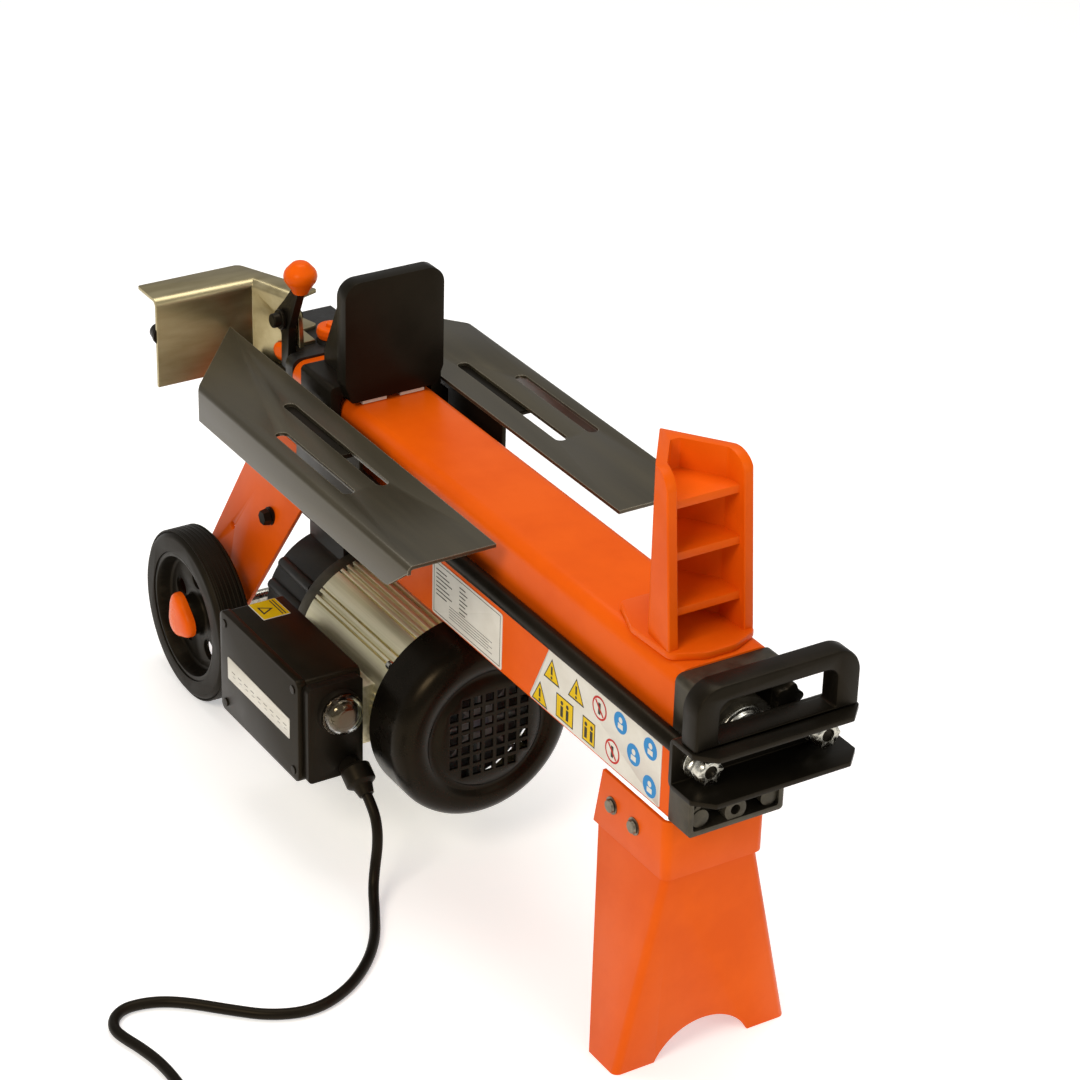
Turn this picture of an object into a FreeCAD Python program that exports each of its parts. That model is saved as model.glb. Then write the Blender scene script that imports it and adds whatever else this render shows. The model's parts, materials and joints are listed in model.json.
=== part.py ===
import FreeCAD, Part
import math
import os
import re
from FreeCAD import Vector, Rotation, Placement

# An electric hydraulic log splitter that lies along X. A hollow beam holds the oil and the
# cylinder. The rod comes out of the beam's front end and pulls a pusher along the beam with two
# tie rods, towards a fixed wedge. All sizes are in millimetres. The working coordinates have
# their origin on the floor, under the middle of the front leg's face; every sub-part is then
# shifted so that the origin is under the middle of the whole machine.

sizes = {
    # the beam and what stands on it
    "beamLength": 560.0, "beamWidth": 80.0, "beamBottom": 209.0, "beamTop": 330.0,
    "beamWall": 4.0, "beamCorner": 12.0,
    "rodHeight": 285.0, "tieSpread": 48.5, "tieRadius": 7.0, "tieThread": 5.0,
    "strokeGap": 13.0,
    # the front cap and the crossbar
    "capDepth": 25.0, "capWall": 4.0, "capPocket": 17.0,
    "barFront": 78.0, "barBack": 38.0, "barHalf": 68.5, "barHeight": 40.0, "barWall": 4.0,
    "barChamfer": 13.0,
    "handleHalf": 67.0, "handleTop": 355.0, "handleDepth": 18.0, "handleBar": 13.0,
    "handleLeg": 19.0, "handleCorner": 20.0,
    # the hydraulics
    "cylinderRadius": 30.0, "boreRadius": 25.0, "cylinderLength": 440.0,
    "pistonRadius": 24.95, "pistonRod": 15.0, "glandRadius": 20.0,
    "headBack": 640.0, "spoolRadius": 5.0, "spoolHeight": 320.0,
    # the motor and its pump
    "motorY": -19.4, "motorZ": 127.0, "coverRadius": 79.0, "coverFront": 276.0,
    "coverBack": 325.0, "bodyBack": 462.0, "bodyRadius": 64.0, "finHeight": 4.5,
    "pumpBack": 540.0, "pumpFront": 478.0, "pumpRadius": 57.0, "shaftRadius": 8.0,
    "gearCentres": 28.0, "gearTip": 16.2, "gearRoot": 10.8, "gearTeeth": 12.0,
    # the switch box
    "boxBack": 478.0, "boxFront": 345.0, "boxOuter": 150.0, "boxInner": 95.0,
    "boxBottom": 82.0, "boxTop": 171.0, "boxWall": 2.5, "lidDepth": 8.0,
    "buttonY": -120.0, "buttonZ": 145.0, "buttonRadius": 11.0,
    # the legs and wheels
    "collarHalf": 43.0, "collarBottom": 160.0, "legFoot": 75.5, "legSheet": 3.0,
    "archHalf": 41.0, "archHeight": 25.5,
    "wheelX": -635.0, "wheelRadius": 75.0, "wheelOuter": 109.0, "wheelInner": 78.0,
    "axleRadius": 6.0,
    # the log bed and the lever
    "bedTop": 330.0, "bedSheet": 3.0, "bedInner": 53.0, "bedOuter": 127.0, "bedFront": -216.0,
    "bedCut": -547.0, "bedBack": -646.0, "bedFlange": 30.0,
    "leverX": -590.0, "leverY": -29.5, "leverZ": 355.0,
    "guardFront": -648.0, "guardBend": -31.0, "guardTurn": 71.57, "guardBottom": 300.3,
    # the mains cord
    "cordRadius": 4.25,
    # how far the finished machine is shifted from the working coordinates
    "originX": 316.0, "originY": 12.0,
}

doc = FreeCAD.newDocument("LogSplitter")
sheet = doc.addObject("Spreadsheet::Sheet", "Sizes")
for row, (alias, number) in enumerate(sizes.items(), start=1):
    sheet.set("A%d" % row, alias)
    sheet.set("B%d" % row, str(number))
    sheet.setAlias("B%d" % row, alias)
doc.recompute()


class Read:
    # the sheet's numbers by name, for outlines that are worked out in code
    def __getattr__(self, alias):
        return float(getattr(sheet, alias))


s = Read()
subParts = []


def formula(text):
    # a formula in the sheet's words becomes an expression
    return re.sub(r"[A-Za-z]\w*", lambda word: "Sizes." + word.group(), str(text))


def bind(thing, **rules):
    for name, text in rules.items():
        thing.setExpression(name.replace("_", "."), formula(text))


def block(x0, x1, y0, y1, z0, z1):
    box = doc.addObject("Part::Box", "Block")
    bind(box, Length=f"({x1})-({x0})", Width=f"({y1})-({y0})", Height=f"({z1})-({z0})")
    bind(box, Placement_Base_x=x0, Placement_Base_y=y0, Placement_Base_z=z0)
    return box


turn = {"X": Rotation(Vector(0, 1, 0), 90), "Y": Rotation(Vector(1, 0, 0), -90),
        "Z": Rotation()}


def rod(direction, start, end, first, second, radius):
    # a round bar along X, Y or Z; first and second are its other two coordinates in order
    bar = doc.addObject("Part::Cylinder", "Rod")
    bar.Placement = Placement(Vector(), turn[direction])
    bind(bar, Radius=radius, Height=f"({end})-({start})")
    spots = {"X": (start, first, second), "Y": (first, start, second), "Z": (first, second, start)}
    x, y, z = spots[direction]
    bind(bar, Placement_Base_x=x, Placement_Base_y=y, Placement_Base_z=z)
    return bar


def fuse(*pieces):
    whole = doc.addObject("Part::MultiFuse", "Joined")
    whole.Shapes = list(pieces)
    return whole


def cut(base, *tools):
    result = doc.addObject("Part::Cut", "Cut")
    result.Base = base
    result.Tool = tools[0] if len(tools) == 1 else fuse(*tools)
    return result


def common(first, second):
    result = doc.addObject("Part::Common", "Common")
    result.Base = first
    result.Tool = second
    return result


def subPart(label, *pieces):
    # one named sub-part, of one solid or of several that don't touch
    group = doc.addObject("Part::Compound", "SubPart")
    group.Links = list(pieces)
    group.Label = label
    bind(group, Placement_Base_x="originX", Placement_Base_y="originY")
    subParts.append(group)
    return group


def outline(points):
    # closed line through (u, v) or (u, v, radius) points, rounded where a radius is given
    corners = []
    for index, point in enumerate(points):
        before = Vector(*points[index - 1][:2], 0)
        here = Vector(*point[:2], 0)
        after = Vector(*points[(index + 1) % len(points)][:2], 0)
        radius = point[2] if len(point) > 2 else 0
        if not radius:
            corners.append((here, None, here))
            continue
        back = (before - here).normalize()
        ahead = (after - here).normalize()
        half = back.getAngle(ahead) / 2
        reach = radius / math.tan(half)
        bisector = (back + ahead).normalize()
        middle = here + bisector * (radius / math.sin(half) - radius)
        corners.append((here + back * reach, middle, here + ahead * reach))
    lines = []
    for index, (start, middle, end) in enumerate(corners):
        if middle:
            lines.append(Part.Arc(start, middle, end))
        following = corners[(index + 1) % len(corners)][0]
        if (following - end).Length > 1e-6:
            lines.append(Part.LineSegment(end, following))
    return lines


def sketchOn(body, plane, offset, loops, circles=()):
    sketch = body.newObject("Sketcher::SketchObject", "Outline")
    feature = [f for f in body.Origin.OriginFeatures if f.Role == plane + "_Plane"][0]
    sketch.AttachmentSupport = [(feature, "")]
    sketch.MapMode = "FlatFace"
    bind(sketch, AttachmentOffset_Base_z=offset)
    for points in loops:
        sketch.addGeometry(outline(points), False)
    for u, v, radius in circles:
        sketch.addGeometry(Part.Circle(Vector(u, v, 0), Vector(0, 0, 1), radius), False)
    return sketch


def sheetMetal(plane, start, end, loops, circles=()):
    # an outline (loops: outside first, then holes) drawn out from start to end across its plane
    body = doc.addObject("PartDesign::Body", "Body")
    offset = f"-({end})" if plane == "XZ" else start
    sketch = sketchOn(body, plane, offset, loops, circles)
    pad = body.newObject("PartDesign::Pad", "Pad")
    pad.Profile = sketch
    bind(pad, Length=f"({end})-({start})")
    body.Tip = pad
    return body


def tapered(sections):
    # straight-sided walls through outlines at several heights
    body = doc.addObject("PartDesign::Body", "Body")
    sketches = [sketchOn(body, "XY", height, [points]) for height, points in sections]
    loft = body.newObject("PartDesign::AdditiveLoft", "Loft")
    loft.Profile = sketches[0]
    loft.Sections = sketches[1:]
    loft.Ruled = True
    body.Tip = loft
    return body


def turned(direction, centre, points):
    # a lathe piece: points are (along, radius), turned about the axis through the centre
    body = doc.addObject("PartDesign::Body", "Body")
    sketch = sketchOn(body, "XY", 0, [points])
    spin = body.newObject("PartDesign::Revolution", "Turned")
    spin.Profile = sketch
    spin.ReferenceAxis = (sketch, ["H_Axis"])
    spin.Angle = 360
    body.Tip = spin
    ways = {"X": Rotation(), "Y": Rotation(Vector(0, 0, 1), 90),
            "Z": Rotation(Vector(0, 1, 0), -90)}
    body.Placement = Placement(Vector(*centre), ways[direction])
    return body


def hexNut(direction, start, end, first, second, flats):
    # a six-sided nut or bolt head along X or Y
    radius = flats / math.sqrt(3)
    ring = [(first + radius * math.cos(math.radians(60 * k)),
             second + radius * math.sin(math.radians(60 * k))) for k in range(6)]
    plane = {"X": "YZ", "Y": "XZ", "Z": "XY"}[direction]
    return sheetMetal(plane, start, end, [ring])


def roundBolt(direction, face, out, length, first, second, radius=4.0, head=8.0, rise=4.5):
    # a bolt with a low domed head that stands on a face, out is +1 or -1 along the direction
    points = [(-length, 0), (-length, radius), (0, radius), (0, head), (1.2, head),
              (rise, head * 0.55, 1.2), (rise, 0)]
    if out < 0:
        points = [(-along, across, *rest) for along, across, *rest in points]
    centres = {"X": (face, first, second), "Y": (first, face, second), "Z": (first, second, face)}
    return turned(direction, centres[direction], points)


# ---------------------------------------------------------------- beam, cap and wedge
def beamTube():
    half = s.beamWidth / 2
    wall = s.beamWall
    outside = [(-half, s.beamBottom, 6), (half, s.beamBottom, 6),
               (half, s.beamTop, s.beamCorner), (-half, s.beamTop, s.beamCorner)]
    inside = [(-half + wall, s.beamBottom + wall, 2), (half - wall, s.beamBottom + wall, 2),
              (half - wall, s.beamTop - wall, s.beamCorner - wall),
              (-half + wall, s.beamTop - wall, s.beamCorner - wall)]
    subPart("beam_tube", sheetMetal("YZ", "-beamLength", "0", [outside, inside]))


def endCap():
    # a die-cast lid: pockets open to the front, ribs between them and a boss for the gland
    half = s.beamWidth / 2
    wall = s.capWall
    low, high = s.beamBottom, s.beamTop - 1.5
    shell = sheetMetal("YZ", "0", "capDepth", [[(-half, low, 3), (half, low, 3),
                                                (half, high, 6), (-half, high, 6)]])
    pocket = sheetMetal("YZ", "capDepth-capPocket", "capDepth+1",
                        [[(-half + wall, low + wall, 2), (half - wall, low + wall, 2),
                          (half - wall, high - wall, 4), (-half + wall, high - wall, 4)]])
    ribs = [rod("X", "capDepth-capPocket-1", "capDepth", 0, "rodHeight", "glandRadius+6"),
            rod("X", "capDepth-capPocket-1", "capDepth-1", 0, "beamBottom+11", 9),
            block("capDepth-capPocket-1", "capDepth-3", -1.5, 1.5, "beamBottom+2", "beamTop-4"),
            block("capDepth-capPocket-1", "capDepth-3", "2-beamWidth/2", "beamWidth/2-2",
                  "rodHeight-1.5", "rodHeight+1.5"),
            block("capDepth-capPocket-1", "capDepth-3", "2-beamWidth/2", "beamWidth/2-2",
                  "beamBottom+26", "beamBottom+29")]
    for side in (-1, 1):
        ribs.append(sheetMetal("YZ", "capDepth-capPocket-1", "capDepth-3",
                               [[(side * 36.5, low + 12), (side * 38, low + 15.5),
                                 (side * 22, low + 32), (side * 20, low + 29)]]))
        ribs.append(rod("X", "capDepth-capPocket-1", "capDepth-2", side * 29, "beamTop-13", 8))
        ribs.append(rod("X", "capDepth-capPocket-1", "capDepth-2", side * 29, "beamBottom+12", 7))
    holes = [rod("X", -1, "capDepth+1", 0, "rodHeight", "pistonRod+1"),
             rod("X", 8, "capDepth+1", 0, "rodHeight", "glandRadius"),
             rod("X", 12, "capDepth+1", 0, "beamBottom+11", 4)]
    for side in (-1, 1):
        holes.append(rod("X", 8, "capDepth+1", side * 29, "beamTop-13", 4.6))
    subPart("end_cap", cut(fuse(cut(shell, pocket), *ribs), *holes))
    gland = turned("X", (8, 0, s.rodHeight), [
        (0, s.pistonRod + 0.05), (0, s.glandRadius), (20, s.glandRadius, 0.8),
        (20, s.glandRadius - 3), (23, s.glandRadius - 4, 0.6), (23, s.pistonRod + 0.05)])
    subPart("rod_gland", gland)


def wedge():
    lean = 12.0   # the rear edge leans towards the log by this much at the top
    thick = 8.0
    top = 466.0
    foot = s.beamTop + 6
    sections = []
    for height, back in ((foot, 0), (top, lean)):
        rear = -16 - back
        sections.append((height, [
            (rear, -35.5, 1.5), (-46, -33, 6), (-91, 0, 1.2), (-46, 33, 6), (rear, 35.5, 1.5),
            (rear, 35.5 - thick, 1), (-44, 33 - thick, 5), (-72, 4, 3), (-72, -4, 3),
            (-44, thick - 33, 5), (rear, thick - 35.5, 1)]))
    plates = tapered(sections)
    corner = sheetMetal("XZ", -40, 40, [[(-16 - lean - 18, top + 1), (-16 - lean - 18, top),
                                         (-16 - lean, top, 18), (-16 - lean + 2, top - 19),
                                         (0, top - 19), (0, top + 1)]])
    subPart("wedge_plates", fuse(cut(plates, corner), *[rib(z) for z in (361, 402, 440)]))
    base = sheetMetal("XY", "beamTop", "beamTop+6", [[
        (-93, -26, 6), (-60, -38, 8), (-14, -36, 10), (-3, -12, 20), (-3, 12, 20), (-14, 36, 10),
        (-60, 38, 8), (-93, 26, 6)]])
    subPart("wedge_base", base)


def rib(height):
    # a stiffener between the wedge's cheeks
    front = -21 - 12 * (height - 336) / 130
    return sheetMetal("XY", height - 3, height + 3, [[
        (front, -30), (-46, -28), (-76, -4), (-76, 4), (-46, 28), (front, 30)]])


def cylinder():
    back = -s.cylinderLength
    tube = turned("X", (0, 0, s.rodHeight), [
        (back - 15, 0), (back - 15, s.cylinderRadius, 2), (-0.2, s.cylinderRadius),
        (-0.2, s.boreRadius), (back, s.boreRadius), (back, 0)])
    subPart("cylinder_tube", tube)


def rearHead():
    # the casting behind the beam: a flange, the oil gallery and the bore of the lever's valve;
    # its upper left corner is cut away for the lever's lower end and the guard
    body = block("-headBack", "-beamLength-12", -38, 38, "beamBottom+3", "beamTop+2")
    flange = sheetMetal("YZ", "-beamLength-12", "-beamLength", [[
        (-40, s.beamBottom, 6), (40, s.beamBottom, 6), (40, s.beamTop + 2, 8),
        (-40, s.beamTop + 2, 8)]])
    corner = sheetMetal("XY", "guardBottom-0.3", "beamTop+3", [[
        (-641, -39), (-572, -39), (-572, -24.5), (-599.4, -24.5), (-599.4, -10.8),
        (-641, -24.9)]])
    bore = rod("X", "-beamLength-13", "-beamLength+1", "leverY", "spoolHeight",
               "spoolRadius+0.05")
    neck = rod("Z", "beamTop-4", "beamTop+6", -578, 6, 13)
    filler = rod("Z", "beamTop-14", "beamTop+8", -578, 6, 8)
    recess = block("-headBack-1", "-headBack+6", -28, 28, "beamBottom+14", "beamTop-10")
    subPart("rear_head", cut(fuse(body, flange, neck), corner, bore, filler, recess))
    plug = turned("Z", (-578, 6, s.beamTop + 6.2), [
        (-18, 0), (-18, 3), (0, 3), (0, 12), (4, 13, 1), (9, 12, 2), (9, 5), (12, 5, 1), (12, 0)])
    # the second plug sits on the guard's slanted wall
    port = Vector(-616, -20.4, 313)
    cap = turned("Y", port, [(0, 0), (0, 8), (2.2, 8, 1), (4, 5, 1.5), (4, 0)])
    cap.Placement = Placement(port, Rotation(Vector(0, 0, 1), -s.guardTurn))
    subPart("oil_plugs", plug, cap)


# ---------------------------------------------------------------- what the rod pulls
def crossbar():
    back, front, half = s.barBack, s.barFront, s.barHalf
    wall, chamfer = s.barWall, s.barChamfer
    low = s.rodHeight + 3 - s.barHeight / 2
    high = low + s.barHeight
    channel = sheetMetal("XZ", "-barHalf", "barHalf", [[
        (front, low), (front, low + wall), (back + wall, low + wall, 1),
        (back + wall, high - wall, 1), (front, high - wall), (front, high), (back, high, 6),
        (back, low, 6)]])
    plan = sheetMetal("XY", low - 1, high + 1, [[
        (back - 1, -half), (front - chamfer, -half, 3), (front, chamfer - half, 3),
        (front, half - chamfer, 3), (front - chamfer, half, 3), (back - 1, half)]])
    holes = [rod("X", "barBack-1", "barBack+barWall+1", side * s.tieSpread, "rodHeight",
                 "tieThread+0.1") for side in (-1, 1)]
    subPart("crossbar", cut(common(channel, plan), *holes))
    nuts = []
    for side in (-1, 1):
        y = side * s.tieSpread
        nuts.append(turned("X", (back + wall, y, s.rodHeight),
                           [(0, s.tieThread), (0, 12), (2.5, 12, 0.6), (2.5, s.tieThread)]))
        hexes = fuse(hexNut("X", back + wall + 2.5, back + wall + 9.5, y, s.rodHeight, 19),
                     hexNut("X", back + wall + 9.5, back + wall + 17.5, y, s.rodHeight, 18))
        nuts.append(cut(hexes, rod("X", "barBack", "barBack+40", y, "rodHeight", "tieThread")))
        rear = hexNut("X", -534, -526, y, s.rodHeight, 13)
        nuts.append(cut(rear, rod("X", -540, -520, y, "rodHeight", "tieThread")))
    subPart("tie_rod_nuts", *nuts)
    rods = []
    for side in (-1, 1):
        y = side * s.tieSpread
        rods.append(fuse(rod("X", -480, "barBack", y, "rodHeight", "tieRadius"),
                         rod("X", -538, "barBack+20", y, "rodHeight", "tieThread")))
    subPart("tie_rods", *rods)


def liftHandle():
    low = s.rodHeight + 3 + s.barHeight / 2
    high, half, leg = s.handleTop, s.handleHalf, s.handleLeg
    corner = s.handleCorner
    loop = sheetMetal("YZ", 48, "48+handleDepth", [
        [(-half, low, 2), (half, low, 2), (half, high, corner), (-half, high, corner)],
        [(leg - half, low + 3, 2), (half - leg, low + 3, 2),
         (half - leg, high - s.handleBar, 9), (leg - half, high - s.handleBar, 9)]])
    subPart("lift_handle", loop)


def ram():
    piston = turned("X", (-s.cylinderLength + 10, 0, s.rodHeight), [
        (0, 0), (0, s.pistonRadius, 1), (8, s.pistonRadius), (8, 21), (14, 21),
        (14, s.pistonRadius), (35, s.pistonRadius, 1), (35, 0)])
    subPart("piston", piston)
    shaft = rod("X", "45-cylinderLength", "barBack", 0, "rodHeight", "pistonRod")
    subPart("piston_rod", shaft)


def pusher():
    # a saddle over the beam, its side arms hold the tie rods; a face plate with two gussets
    top = s.beamTop
    arms = sheetMetal("YZ", -526, -476, [[
        (-50, top + 4.3), (-50, top + 14, 4), (50, top + 14, 4), (50, top + 4.3), (50, 324),
        (57, 320, 2), (57, 274, 4), (41.2, 274, 1), (41.2, top + 1, 2), (39, top + 4.3, 2),
        (-39, top + 4.3, 2), (-41.2, top + 1, 2), (-41.2, 274, 1), (-57, 274, 4), (-57, 320, 2),
        (-50, 324)]])
    face = sheetMetal("YZ", -476, -462, [[
        (-38, top + 4.3), (38, top + 4.3), (44, top + 20, 4), (44, 436, 14), (-44, 436, 14),
        (-44, top + 20, 4)]])
    gussets = [sheetMetal("XZ", y - 4, y + 4, [[
        (-476, top + 12), (-476, 425), (-490, 425, 8), (-524, top + 24, 4), (-524, top + 12)]])
        for y in (-26, 26)]
    holes = [rod("X", -530, -470, side * s.tieSpread, "rodHeight", "tieThread+0.1")
             for side in (-1, 1)]
    holes += [rod("X", -480.2, -470, side * s.tieSpread, "rodHeight", "tieRadius+0.1")
              for side in (-1, 1)]
    subPart("pusher", cut(fuse(arms, face, *gussets), *holes))
    pads = [block(-524, -464, y, y + 22, "beamTop+0.3", "beamTop+4.3") for y in (-28, 6)]
    subPart("pusher_pads", *pads)


# ---------------------------------------------------------------- motor and pump
def motorBody():
    # an extruded aluminium tube with fine fins, two broad ribs and a flat for the switch box
    centreY, centreZ = s.motorY, s.motorZ
    low, high = s.bodyRadius, s.bodyRadius + s.finHeight
    points = []
    pitch = 5.0
    for k in range(72):
        angle = k * pitch
        broad = 118 <= angle <= 134 or 144 <= angle <= 160
        wide = 2.5 if broad else 1.1
        for turnBy, radius in ((-wide, low), (-wide, high), (wide, high), (wide, low)):
            if broad and radius == low:
                continue
            reach = math.radians(angle + turnBy * (1 if radius == high else 1.15))
            points.append((centreY + radius * math.cos(reach), centreZ + radius * math.sin(reach)))
    finned = sheetMetal("YZ", "-bodyBack", "-coverBack", [points])
    pad = block(-462, -345, "-boxInner", "motorY-50", "motorZ-26", "motorZ+26")
    hollow = rod("X", "-bodyBack-1", "-coverBack+1", "motorY", "motorZ", 58)
    subPart("motor_body", cut(fuse(finned, pad), hollow))
    rear = cut(rod("X", "-pumpFront", "-bodyBack", "motorY", "motorZ", 66),
               rod("X", "-pumpFront-1", "-bodyBack+1", "motorY", "motorZ", "shaftRadius+1"),
               rod("X", "-bodyBack-8", "-bodyBack+1", "motorY", "motorZ", 14))
    front = cut(rod("X", "-coverBack", "-coverBack+10", "motorY", "motorZ", 66),
                rod("X", "-coverBack-1", "-coverBack+11", "motorY", "motorZ", "shaftRadius+1"),
                rod("X", "-coverBack-1", "-coverBack+7", "motorY", "motorZ", 14))
    subPart("motor_end_shields", rear, front)
    rings = [cut(rod("X", start, start + 6, "motorY", "motorZ", 14),
                 rod("X", start - 1, start + 7, "motorY", "motorZ", "shaftRadius+0.03"))
             for start in (-469.5, -324.5)]
    subPart("motor_bearings", *rings)
    subPart("stator", cut(rod("X", -445, -350, "motorY", "motorZ", 57.9),
                          rod("X", -446, -349, "motorY", "motorZ", 36)))
    subPart("rotor", fuse(rod("X", -440, -355, "motorY", "motorZ", 35.5),
                          rod("X", -530, -290, "motorY", "motorZ", "shaftRadius")))


def coolingFan():
    y, z = s.motorY, s.motorZ
    blades = []
    for k in range(8):
        blade = block(-308, -292, 14, 58, -1.2, 1.2)
        blade.setExpression("Placement.Base.x", None)
        blade.setExpression("Placement.Base.y", None)
        blade.setExpression("Placement.Base.z", None)
        spin = Rotation(Vector(1, 0, 0), 45 * k)
        blade.Placement = Placement(Vector(-308, y, z) + spin.multVec(Vector(0, 14, -1.2)), spin)
        blades.append(blade)
    disc = fuse(rod("X", -310, -307, y, z, 58), rod("X", -310, -292, y, z, 16), *blades)
    subPart("cooling_fan", cut(disc, rod("X", -312, -290, y, z, s.shaftRadius)))


def fanCover():
    # a moulded bowl over the fan; a ring groove and a field of square holes in its front face
    radius, back, front = s.coverRadius, -s.coverBack, -s.coverFront
    wall = 2.5
    deep = front - back
    shell = turned("X", (back, s.motorY, s.motorZ), [
        (0, radius - wall), (0, radius), (deep, radius, 17), (deep, 55), (deep - 2.5, 53.5),
        (deep - 2.5, 47.5), (deep, 46), (deep, 0), (deep - wall, 0), (deep - wall, 44.5),
        (deep - 5, 46), (deep - 5, 55), (deep - wall, 56.5), (deep - wall, radius - wall, 14.5)])
    holes = []
    pitch, side = 10.5, 7.5
    for column in range(-4, 5):
        for row in range(-4, 5):
            u, v = column * pitch, row * pitch
            reach = math.hypot(u, v)
            if reach < 41:
                holes.append(block("-coverFront-6", "-coverFront+1", s.motorY + u - side / 2,
                                   s.motorY + u + side / 2, s.motorZ + v - side / 2,
                                   s.motorZ + v + side / 2))
    subPart("fan_cover", cut(shell, *holes))


def pump():
    # the gear pump's housing under the beam's rear end, with cooling ribs round it
    y, z = s.motorY, s.motorZ
    drum = rod("X", "-pumpBack", "-pumpFront", y, z, "pumpRadius")
    lobes = [rod("X", "-pumpBack+4", "-pumpFront-6",
                 y + s.pumpRadius * math.cos(math.radians(angle)),
                 z + s.pumpRadius * math.sin(math.radians(angle)), 5)
             for angle in range(0, 360, 20) if not 30 < angle < 130]
    neck = block("-pumpBack", "-pumpFront-4", -36, 20, "motorZ+20", "beamBottom")
    flange = block("-pumpBack-6", "-pumpFront", -40, 40, "beamBottom-10", "beamBottom")
    lower = z - s.gearCentres
    spaces = [rod("X", -530, -505, y, z, "gearTip+0.4"),
              rod("X", -530, -505, y, lower, "gearTip+0.4"),
              rod("X", -506, "-pumpFront+1", y, z, "shaftRadius+0.05"),
              rod("X", -535, -500, y, lower, 5.05)]
    subPart("pump_housing", cut(fuse(drum, neck, flange, *lobes), *spaces))
    subPart("drive_gear", gear(z, 0, s.shaftRadius))
    idler = fuse(gear(lower, 15, 0), rod("X", -534.5, -500.5, y, lower, 5))
    subPart("driven_gear", idler)


def gear(height, offset, bore):
    # a pump gear with straight-flanked teeth
    points = []
    count = int(s.gearTeeth)
    for k in range(count):
        middle = 360.0 / count * k + offset
        for swing, radius in ((-9, s.gearRoot), (-4.4, s.gearTip), (4.4, s.gearTip),
                              (9, s.gearRoot)):
            angle = math.radians(middle + swing)
            points.append((s.motorY + radius * math.cos(angle), height + radius * math.sin(angle)))
    circles = [(s.motorY, height, bore)] if bore else []
    return sheetMetal("YZ", -529.5, -505.5, [points], circles)


def motorBolts():
    bolts = []
    for angle in (50, 140, 220, 320):
        y = s.motorY + 75.5 * math.cos(math.radians(angle))
        z = s.motorZ + 75.5 * math.sin(math.radians(angle))
        bolts.append(turned("X", (0, y, z), [
            (-332, 0), (-332, 3.6, 1), (-326.8, 3.6), (-326.8, 2), (-318, 2), (-318, 0)]))
    return bolts


# ---------------------------------------------------------------- switch box
def switchBox():
    back, front = -s.boxBack, -s.boxFront
    low, high = s.boxBottom, s.boxTop
    wall = s.boxWall
    inner, outer = -s.boxInner, -s.boxOuter
    shell = sheetMetal("XZ", "lidDepth-boxOuter", "-boxInner", [[
        (back, low, 5), (front, low, 5), (front, high, 5), (back, high, 5)]])
    hollow = sheetMetal("XZ", "lidDepth-boxOuter-1", "-boxInner-boxWall", [[
        (back + wall, low + wall, 3), (front - wall, low + wall, 3),
        (front - wall, high - wall, 3), (back + wall, high - wall, 3)]])
    hole = rod("X", "-boxFront-5", "-boxFront+1", "buttonY", "buttonZ", "buttonRadius+3")
    subPart("switch_box", cut(shell, hollow, hole))
    lid = sheetMetal("XZ", "-boxOuter", "lidDepth-boxOuter", [[
        (back - 1, low - 1, 6), (front, low - 1, 6), (front, high + 1, 6),
        (back - 1, high + 1, 6)]])
    subPart("switch_box_lid", lid)
    subPart("capacitor", turned("X", (back + 12, -121, low + 26), [
        (0, 0), (0, 19, 2), (88, 19, 2), (88, 5), (92, 5), (92, 0)]))


def lidScrews():
    screws = []
    for x in (8 - s.boxBack, -s.boxFront - 8):
        for z in (s.boxBottom + 8, s.boxTop - 8):
            screws.append(turned("Y", (x, -s.boxOuter, z), [
                (-1, 0), (-1, 3.6, 0.5), (0, 3.6), (0, 0)]))
    return screws


def startSwitch():
    # the switch module on the box's front face, its button under a clear dome
    front = -s.boxFront
    y, z = s.buttonY, s.buttonZ
    plate = sheetMetal("YZ", front, front + 9, [[
        (-146, 84, 4), (-98, 84, 4), (-98, 169, 4), (-146, 169, 4)]])
    collar = rod("X", front + 9, front + 15, y, z, 18)
    bore = rod("X", front - 1, front + 16, y, z, "buttonRadius+0.3")
    inlet = rod("X", front - 1, front + 10, -110, 91, 5)
    subPart("switch_plate", cut(fuse(plate, collar), bore, inlet))
    button = turned("X", (front, y, z), [
        (-3.5, 0), (-3.5, s.buttonRadius, 1), (19, s.buttonRadius, 2), (19, 0)])
    subPart("start_button", button)
    dome = turned("X", (front + 15, y, z), [
        (0, 14.2), (0, 17.5), (3, 17.5, 1), (3, 16), (12, 16, 8), (12, 0), (10.4, 0),
        (10.4, 14.2, 6.6)])
    subPart("button_dome", dome)


def cableGland():
    # a threaded neck on the switch plate, then a cap nut and sleeve that tilt down to the floor
    front = -s.boxFront + 9
    neck = rod("X", front, front + 12, -110, 91, 9)
    cap = turned("X", (0, 0, 0), [
        (-5, 0), (-5, 12.2, 2), (9, 12.2, 2), (12, 8), (20, 6, 1), (20, 0)])
    cap.Placement = Placement(Vector(front + 12, -110, 91), Rotation(Vector(0, 1, 0), 35))
    subPart("cable_gland", fuse(neck, cap))


# ---------------------------------------------------------------- legs and wheels
def frontLeg():
    half, wall = s.collarHalf, s.legSheet
    sections = []
    for height, depth in (("collarBottom", -90), ("beamBottom", -80)):
        sections.append((height, channelPlan(wall, half, depth, wall, 7)))
    subPart("leg_collar", tapered(sections))
    foot, top = s.legFoot, half - wall - 0.2
    sections = []
    for height, wide, depth in ((0, foot, -35), ("collarBottom", top, -88), (205, top, -78)):
        sections.append((height, channelPlan(-0.2, wide, depth, wall, 6)))
    leg = tapered(sections)
    radius = (s.archHalf ** 2 + s.archHeight ** 2) / (2 * s.archHeight)
    arch = rod("X", -10, 5, 0, s.archHeight - radius, radius)
    subPart("front_leg", cut(leg, arch))


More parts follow.
